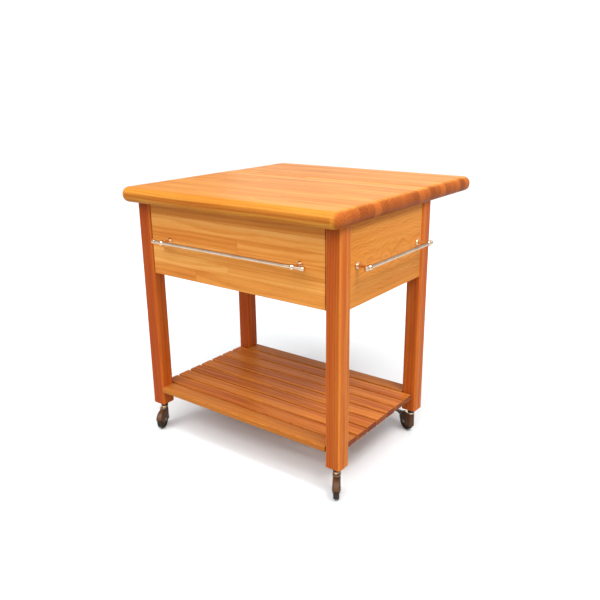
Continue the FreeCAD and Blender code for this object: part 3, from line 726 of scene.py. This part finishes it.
def gather(name: str, parts: Iterable[tuple[BMesh, Matrix]], material: Material,
           body: str) -> None:
    """Place several turned shapes as one piece that rides on a body.

    Args:
        name: The piece's name.
        parts: Each shape and its place.
        material: The finish.
        body: The CAD body that it rides on.
    """
    whole = bmesh.new()
    for part, place in parts:
        part.transform(place)
        scratch = bpy.data.meshes.new("scratch")
        part.to_mesh(scratch)
        part.free()
        whole.from_mesh(scratch)
        bpy.data.meshes.remove(scratch)
    bmesh.ops.recalc_face_normals(whole, faces=whole.faces)
    mesh = bpy.data.meshes.new(name)
    whole.to_mesh(mesh)
    whole.free()
    mesh.materials.append(material)
    mesh.polygons.foreach_set("use_smooth", [True] * len(mesh.polygons))
    mesh.set_sharp_from_angle(angle=math.radians(SHARP_DEGREES))
    piece = bpy.data.objects.new(name, mesh)
    bpy.context.scene.collection.objects.link(piece)
    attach(piece, body)
    LOG.info("built %s on %s", name, body)


def facing(axis: Sequence[float], at: Sequence[float]) -> Matrix:
    """Matrix that turns +Z to an axis and moves the origin to a place."""
    turn = Vector((0, 0, 1)).rotation_difference(Vector(axis)).to_matrix().to_4x4()
    turn.translation = Vector(at)
    return turn


def square_recess(angle: float) -> float:
    """Factor that turns a ring into a square of the same inner width."""
    return 1 / max(abs(math.cos(angle)), abs(math.sin(angle)))


class SubAssembly:
    """Pieces that belong together."""

    def dress(self) -> None:
        """Finish the CAD nodes."""

    def build(self) -> None:
        """Add the small pieces, if there are any."""


@dataclass
class Screw:
    """Domed head of a wood screw, with a square recess."""

    head_radius: float = 3.4 * MM
    head_height: float = 0.9 * MM
    recess: float = 1.1 * MM
    recess_depth: float = 1.2 * MM
    sunk: float = 0.6 * MM

    def build(self) -> BMesh:
        """Turn the head about +Z with its underside sunk below the face."""
        r, h, under = self.head_radius, self.head_height, -self.sunk
        profile = [(r * 0.6, under - self.recess_depth), (r * 0.6, under), (r, under), (r, h * 0.25),
                   (r * 0.92, h * 0.6), (r * 0.72, h * 0.88), (r * 0.5, h), (self.recess, h),
                   (self.recess, h - self.recess_depth)]
        return lathe(profile, 24, square_recess, (7, 8))


@dataclass
class WorkTop(SubAssembly):
    """Butcher block top and the drop leaf behind it."""

    main: str = "main_top"
    leaf: str = "drop_leaf"

    def dress(self) -> None:
        """Glue both slabs up from staves that run from left to right."""
        board(self.main, TOP_WOOD, Grain.ALONG_X, 17)
        board(self.leaf, TOP_WOOD, Grain.ALONG_X, 12)


@dataclass
class LegFrame(SubAssembly):
    """Four legs and the caster sockets in them; each leg's tone is painted light and shade."""

    lit_and_shaded_tones: dict[str, float] = field(default_factory=lambda: {
        "front_left": 0.52, "front_right": 0.26, "rear_left": 0.54, "rear_right": 0.44})

    def dress(self) -> None:
        """Give each leg its own run of grain."""
        # A lower tone paints a leg as lit, a higher one paints it as shaded.
        for seed, (place, tone) in enumerate(self.lit_and_shaded_tones.items(), 20):
            board(f"leg_{place}", replace(LEG_WOOD, tone=tone), Grain.ALONG_Z, seed)
        coat("caster_sockets", SOCKET_BRONZE.material("socket_bronze"))


@dataclass
class CasePanels(SubAssembly):
    """Panels, rails, cleats and drawer runners between the legs."""

    ease: float = 1.0 * MM
    hidden_ease: float = 0.6 * MM
    screw: Screw = field(default_factory=Screw)
    cleat_screws: int = 4

    def dress(self) -> None:
        """Figured side panels, a glued-up back panel and plain inner rails."""
        board("side_panel_left", SIDE_WOOD, Grain.ALONG_Y_UPRIGHT, 31, self.ease)
        board("side_panel_right", SIDE_WOOD, Grain.ALONG_Y_UPRIGHT, 34, self.ease)
        board("back_panel", FRONT_WOOD, Grain.ALONG_X_UPRIGHT, 33, self.ease)
        inner = {"front_rail_upper": Grain.ALONG_X, "front_rail_lower": Grain.ALONG_X,
                 "top_cleats": Grain.ALONG_Y, "drawer_runner_left": Grain.ALONG_Y,
                 "drawer_runner_right": Grain.ALONG_Y}
        for seed, (name, grain) in enumerate(inner.items(), 35):
            board(name, FRAME_WOOD, grain, seed, self.hidden_ease)

    def build(self) -> None:
        """Screws from below through the cleats that hold the top down."""
        low, high = corners("top_cleats")
        inset = (high.z - low.z) / 2
        parts = []
        for x in (low.x + inset, high.x - inset):
            for number in range(self.cleat_screws):
                y = low.y + (high.y - low.y) * (number + 0.5) / self.cleat_screws
                parts.append((self.screw.build(), facing((0, 0, -1), (x, y, low.z))))
        zinc = SLIDE_STEEL.material("cleat_screw_zinc", Grain.ALONG_X)
        gather("cleat_screws", parts, zinc, "case")


@dataclass
class SlattedShelf(SubAssembly):
    """Stretchers, slats and the end rails below them."""

    slats: int = 7
    ease: float = 0.8 * MM
    screw: Screw = field(default_factory=lambda: Screw(head_radius=3.0 * MM))

    def dress(self) -> None:
        """Give each board its own tone and grain."""
        # The stretchers' darker tone is painted shade.
        board("shelf_stretcher_front", SHELF_BEARER_SHADED_WOOD, Grain.ALONG_X, 41)
        board("shelf_stretcher_rear", SHELF_BEARER_SHADED_WOOD, Grain.ALONG_X, 42)
        for number in range(1, self.slats + 1):
            board(f"shelf_slat_{number}", SHELF_WOOD, Grain.ALONG_X, 50 + number)
        for number, side in enumerate(Side):
            board(f"shelf_end_rail_{side.value}", SHELF_WOOD, Grain.ALONG_Y, 61 + number, self.ease)

    def build(self) -> None:
        """One screw from below through each end rail into each slat."""
        parts = []
        for side in Side:
            low, high = corners(f"shelf_end_rail_{side.value}")
            for number in range(1, self.slats + 1):
                slat_low, slat_high = corners(f"shelf_slat_{number}")
                at = ((low.x + high.x) / 2, (slat_low.y + slat_high.y) / 2, low.z)
                parts.append((self.screw.build(), facing((0, 0, -1), at)))
        zinc = SLIDE_STEEL.material("shelf_screw_zinc", Grain.ALONG_X)
        gather("shelf_screws", parts, zinc, "case")


@dataclass
class Drawer(SubAssembly):
    """Drawer box with its show front and the telescopic slides."""

    ease: float = 0.8 * MM
    bumper_radius: float = 5.0 * MM
    bumper_height: float = 1.6 * MM
    bumper_inset: float = 14.0 * MM
    bumper_sunk: float = 0.3 * MM

    def dress(self) -> None:
        """Show wood on the front, pale lacquered wood inside, zinc on the slides."""
        board("drawer_front", FRONT_WOOD, Grain.ALONG_X_UPRIGHT, 71)
        for number, side in enumerate(Side):
            board(f"drawer_side_{side.value}", DRAWER_WOOD, Grain.ALONG_Y_UPRIGHT, 72 + number, self.ease)
        board("drawer_back", DRAWER_WOOD, Grain.ALONG_X_UPRIGHT, 74, self.ease)
        board("drawer_bottom", DRAWER_WOOD, Grain.ALONG_X, 75)
        zinc = SLIDE_STEEL.material("slide_zinc", Grain.ALONG_Y)
        for member in ("outer", "middle", "inner"):
            for side in Side:
                coat(f"slide_{member}_{side.value}", zinc)

    def build(self) -> None:
        """Moulded bumpers on the back of the front, where it meets the upper rail."""
        behind = corners("drawer_front")[1].y
        low, high = corners("front_rail_upper")
        r, h = self.bumper_radius, self.bumper_height
        parts = []
        for x in (low.x + self.bumper_inset, high.x - self.bumper_inset):
            pad = lathe([(r, -self.bumper_sunk), (r, h * 0.6), (r * 0.9, h * 0.9), (r * 0.7, h)], 28)
            parts.append((pad, facing((0, 1, 0), (x, behind, (low.z + high.z) / 2))))
        plastic = PEDAL_PLASTIC.material("bumper_plastic")
        gather("drawer_bumpers", parts, plastic, "drawer")


@dataclass
class BrightBars(SubAssembly):
    """Drawer pull and towel bar with their posts and turned end caps."""

    cap_radius: float = 7.4 * MM
    cap_length: float = 15.0 * MM
    cap_groove: float = 0.7 * MM
    cap_edge: float = 0.6 * MM
    cap_fit: float = 0.3 * MM
    cap_past: float = 0.4 * MM

    def dress(self) -> None:
        """Bright nickel on bars and posts."""
        for name, grain in (("drawer_pull_bar", Grain.ALONG_X), ("towel_bar", Grain.ALONG_Y),
                            ("drawer_pull_posts", Grain.ALONG_Y), ("towel_bar_posts", Grain.ALONG_X)):
            coat(name, BRIGHT_NICKEL.material(f"{name}_nickel", grain))

    def cap(self, bar_radius: float) -> BMesh:
        """Turn an end cap for a bar, open towards -Z and with its outer face at the origin."""
        r, long, cut, edge = self.cap_radius, self.cap_length, self.cap_groove, self.cap_edge
        inner = bar_radius - self.cap_fit
        profile = [(inner, -long), (r - edge, -long), (r, -long + edge), (r, -long * 0.72),
                   (r - cut, -long * 0.68), (r - cut, -long * 0.60), (r, -long * 0.56), (r, -2.4 * MM),
                   (r * 0.93, -1.0 * MM), (r * 0.74, -0.2 * MM), (r * 0.5, 0.0)]
        return lathe(profile, 40)

    def build(self) -> None:
        """Cap both ends of both bars."""
        for name, body, axis in (("drawer_pull_bar", "drawer", 0), ("towel_bar", "case", 1)):
            low, high = corners(name)
            middle = (low + high) / 2
            parts = []
            for end, sign in ((low, -1), (high, 1)):
                way = Vector((0, 0, 0))
                way[axis] = sign
                at = middle.copy()
                at[axis] = end[axis] + sign * self.cap_past
                parts.append((self.cap((high.z - low.z) / 2), facing(way, at)))
            grain = Grain.ALONG_X if axis == 0 else Grain.ALONG_Y
            nickel = BRIGHT_NICKEL.material(f"{name}_cap_nickel", grain)
            gather(f"{name}_caps", parts, nickel, body)


@dataclass
class LeafHinges(SubAssembly):
    """Three butt hinges with their screws."""

    screw: Screw = field(default_factory=lambda: Screw(head_radius=3.0 * MM, head_height=0.5 * MM))
    spacing: float = 280.0 * MM
    screw_spread: float = 24.0 * MM
    screw_out: float = 16.0 * MM
    plate: float = 2.0 * MM

    def dress(self) -> None:
        """Satin steel on plates and pins."""
        for name in ("hinge_plates_case", "hinge_plates_leaf", "hinge_pins"):
            coat(name, HINGE_STEEL.material(f"{name}_steel", Grain.ALONG_X))

    def build(self) -> None:
        """Three screws in each plate."""
        low, high = corners("hinge_pins")
        axis = (low + high) / 2
        case_face = corners("hinge_plates_case")[0].y + self.plate
        leaf_face = corners("hinge_plates_leaf")[1].z - self.plate
        rows: dict[str, list[tuple[BMesh, Matrix]]] = {"case": [], "leaf": []}
        for hinge in (-1, 0, 1):
            for place in (-1, 0, 1):
                x = axis.x + hinge * self.spacing + place * self.screw_spread
                on_case = (x, case_face, axis.z - self.screw_out)
                rows["case"].append((self.screw.build(), facing((0, 1, 0), on_case)))
                on_leaf = (x, axis.y + self.screw_out, leaf_face)
                rows["leaf"].append((self.screw.build(), facing((0, 0, -1), on_leaf)))
        for body, parts in rows.items():
            steel = HINGE_STEEL.material(f"hinge_screw_steel_{body}", Grain.ALONG_Z)
            gather(f"hinge_screws_{body}", parts, steel, body)


@dataclass
class Caster(SubAssembly):
    """One swivel caster: hooded fork, wheel, axle and sometimes a brake pedal."""

    place: str
    braked: bool = False
    collar_gap: float = 0.3 * MM
    collar_height: float = 4.6 * MM
    rim_radius: float = 25.0 * MM
    rim_blend: float = 1.0 * MM
    hub_tint: float = 0.55
    ring_waves: float = 4200.0
    ring_shade: float = 0.92
    hood_ease: float = 2.2 * MM
    axle_ease: float = 0.6 * MM
    pedal_ease: float = 1.2 * MM
    facets: int = 3

    def hood(self) -> Material:
        """Dark enamel below a bright plated collar and stem."""
        made, g, shader = new_material(f"caster_fork_{self.place}_enamel")
        colour, rough = HOOD_ENAMEL.surface(g, shader)
        _, _, up = g.split(g.node("TexCoord").outputs["Object"])
        socket_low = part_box("caster_sockets")[0][2]
        plated = g.math("GREATER_THAN", up, socket_low - self.collar_gap - self.collar_height)
        g.put(shader.inputs["Base Color"], g.blend(plated, colour, BRIGHT_NICKEL.colour))
        g.put(shader.inputs["Metallic"], plated)
        g.put(shader.inputs["Roughness"], rough)
        return made

    def wheel(self) -> Material:
        """Dark tread with fine turned rings, and a slightly browner hub."""
        joint = next(j for j in frame["joints"] if j["name"] == f"wheel_{self.place}_spin")
        made, g, shader = new_material(f"caster_wheel_{self.place}_tread")
        colour, rough = TREAD_RUBBER.surface(g, shader)
        zones = g.group(wheel_radius_zones(), Vector=g.node("TexCoord").outputs["Object"],
                        Hub=tuple(joint["pos_m"]), Axle=tuple(joint["axis"])).outputs
        hub = g.smooth(zones["Radius"], self.rim_radius - self.rim_blend, self.rim_radius, 1.0, 0.0)
        rings = g.math("SINE", g.times(zones["Radius"], self.ring_waves))
        shade = g.span(rings, self.ring_shade, 1.0)
        tinted = g.blend(hub, colour, g.blend(self.hub_tint, colour, HOOD_ENAMEL.colour))
        g.put(shader.inputs["Base Color"], g.blend(1.0, tinted, g.join(shade, shade, shade), "MULTIPLY"))
        g.put(shader.inputs["Roughness"], rough)
        return made

    def dress(self) -> None:
        """Finish the caster's nodes."""
        coat(f"caster_fork_{self.place}", self.hood())
        soften(f"caster_fork_{self.place}", self.hood_ease, self.facets)
        coat(f"caster_wheel_{self.place}", self.wheel())
        coat(f"caster_axle_{self.place}", AXLE_STEEL.material(f"axle_{self.place}_steel", Grain.ALONG_Z))
        soften(f"caster_axle_{self.place}", self.axle_ease)
        if self.braked:
            coat(f"brake_pedal_{self.place}", PEDAL_PLASTIC.material(f"pedal_{self.place}_plastic"))
            soften(f"brake_pedal_{self.place}", self.pedal_ease, self.facets)


def aim(data: bpy.types.Light, at: Sequence[float], way: Vector) -> None:
    """Place a light so that it shines one way."""
    light = bpy.data.objects.new(data.name, data)
    light.location = at
    light.rotation_mode = "QUATERNION"
    light.rotation_quaternion = way.to_track_quat("-Z", "Y")
    bpy.context.scene.collection.objects.link(light)


@dataclass(frozen=True)
class Lamp:
    """Square soft light: its place and side in metres, and its power in watts."""

    name: str
    at: Point
    size: float
    power: float
    tint: Colour = (1.0, 0.985, 0.965)

    def hang(self, target: Point) -> None:
        """Add the lamp, turned towards a target."""
        data = bpy.data.lights.new(self.name, "AREA")
        data.shape = "SQUARE"
        data.size = self.size
        data.energy = self.power
        data.color = self.tint
        aim(data, self.at, Vector(target) - Vector(self.at))


@dataclass
class Studio:
    """Pale floor, soft lights and the camera at the photo's angle."""

    camera_at: Point = (1.375926, -1.868301, 1.210451)
    yaw: float = 36.936
    pitch: float = -17.727
    roll: float = -0.603
    focal_pixels: float = 674.556
    image_width: int = 600
    sensor: float = 36.0
    floor_half: float = 30.0
    floor_pale: tuple[Colour, Colour] = ((0.925, 0.955, 0.98), (0.94, 0.97, 0.99))
    floor_bounce: Colour = (0.42, 0.44, 0.46)
    floor_mirrored: float = 0.5
    air: Colour = (0.965, 0.985, 1.0)
    backdrop: float = 1.06
    mirrored: float = 0.56
    wall: float = 0.52
    ceiling: float = 0.45
    wall_ends: Range = (0.13, 0.30)
    key: float = 2.65
    key_angle: float = 75.0
    key_from: Point = (0.22, -0.78, 1.25)
    key_tint: Colour = (1.0, 0.99, 0.975)
    lit_point: Point = (0.0, 0.0, 0.5)
    lamps: tuple[Lamp, ...] = (
        Lamp("front_light", (-0.7, -2.1, 2.3), 1.2, 12.0),
        Lamp("right_light", (1.95, -0.55, 3.15), 1.0, 54.0, (1.0, 0.98, 0.955)),
        Lamp("rear_light", (-1.6, 2.8, 2.1), 2.2, 12.0))

    def build_camera(self) -> None:
        """Set the camera that was solved from the photo's straight edges."""
        yaw, pitch, roll = (math.radians(angle) for angle in (self.yaw, self.pitch, self.roll))
        level = math.cos(pitch)
        ahead = Vector((-math.sin(yaw) * level, math.cos(yaw) * level, math.sin(pitch)))
        right = ahead.cross(Vector((0, 0, 1))).normalized()
        up = right.cross(ahead)
        across = right * math.cos(roll) + up * math.sin(roll)
        upward = up * math.cos(roll) - right * math.sin(roll)
        data = bpy.data.cameras.new("camera")
        data.sensor_width = self.sensor
        data.lens = self.focal_pixels * self.sensor / self.image_width
        data.dof.use_dof = False
        camera = bpy.data.objects.new("camera", data)
        turn = Matrix((across, upward, -ahead)).transposed().to_4x4()
        turn.translation = Vector(self.camera_at)
        camera.matrix_world = turn
        bpy.context.scene.collection.objects.link(camera)
        bpy.context.scene.camera = camera

    def build_floor(self) -> None:
        """A wide plain floor, faintly mottled, pale to the camera and darker to other rays."""
        half = self.floor_half
        mesh = bpy.data.meshes.new("floor")
        rim = [(-half, -half, 0), (half, -half, 0), (half, half, 0), (-half, half, 0)]
        mesh.from_pydata(rim, [], [(0, 1, 2, 3)])
        made, g, shader = new_material("pale_floor")
        mottle = g.noise(g.node("TexCoord").outputs["Object"], (3.0, 3.0, 3.0), 3.0).outputs[0]
        ray = g.node("LightPath").outputs
        mirrored = g.times(ray["Is Glossy Ray"], self.floor_mirrored)
        seen = g.math("MAXIMUM", ray["Is Camera Ray"], mirrored)
        pale = g.blend(mottle, *self.floor_pale)
        g.put(shader.inputs["Base Color"], g.blend(seen, self.floor_bounce, pale))
        g.put(shader.inputs["Roughness"], g.span(mottle, 0.75, 0.9))
        mesh.materials.append(made)
        floor = bpy.data.objects.new("floor", mesh)
        bpy.context.scene.collection.objects.link(floor)

    def build_lights(self) -> None:
        """A dim room that the camera sees as white, a broad key light from the front, and the lamps."""
        world = bpy.data.worlds.new("white_room")
        world.use_nodes = True
        g = Graph(world.node_tree)
        back = world.node_tree.nodes["Background"]
        back.inputs["Color"].default_value = (*self.air, 1.0)
        _, _, up = g.split(g.node("TexCoord").outputs["Generated"])
        room = g.smooth(up, *self.wall_ends, self.wall, self.ceiling)
        ray = g.node("LightPath").outputs
        seen = g.math("MAXIMUM", g.times(ray["Is Camera Ray"], self.backdrop),
                      g.times(ray["Is Glossy Ray"], self.mirrored))
        g.put(back.inputs["Strength"], g.math("MAXIMUM", room, seen))
        bpy.context.scene.world = world
        data = bpy.data.lights.new("key_light", "SUN")
        data.energy = self.key
        data.angle = math.radians(self.key_angle)
        data.color = self.key_tint
        aim(data, (0, 0, 0), -Vector(self.key_from))
        for lamp in self.lamps:
            lamp.hang(self.lit_point)
        bpy.context.scene.view_settings.view_transform = "Standard"

    def build(self) -> None:
        """Set up camera, floor and lights."""
        self.build_camera()
        self.build_floor()
        self.build_lights()


def write_sizes() -> None:
    """Bring the view layer up to date."""
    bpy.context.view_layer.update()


def main() -> None:
    """Build and dress the sub-assemblies in order."""
    logging.basicConfig(level=logging.INFO, format="%(message)s")
    Studio().build()
    island = (WorkTop(), LegFrame(), CasePanels(), SlattedShelf(), Drawer(), BrightBars(), LeafHinges())
    casters = (Caster(f"{end}_{side.value}", end == "rear") for end in ("front", "rear") for side in Side)
    for part in (*island, *casters):
        part.dress()
        part.build()
        LOG.info("done: %s", type(part).__name__)
    write_sizes()


if __name__ == "__main__":
    main()
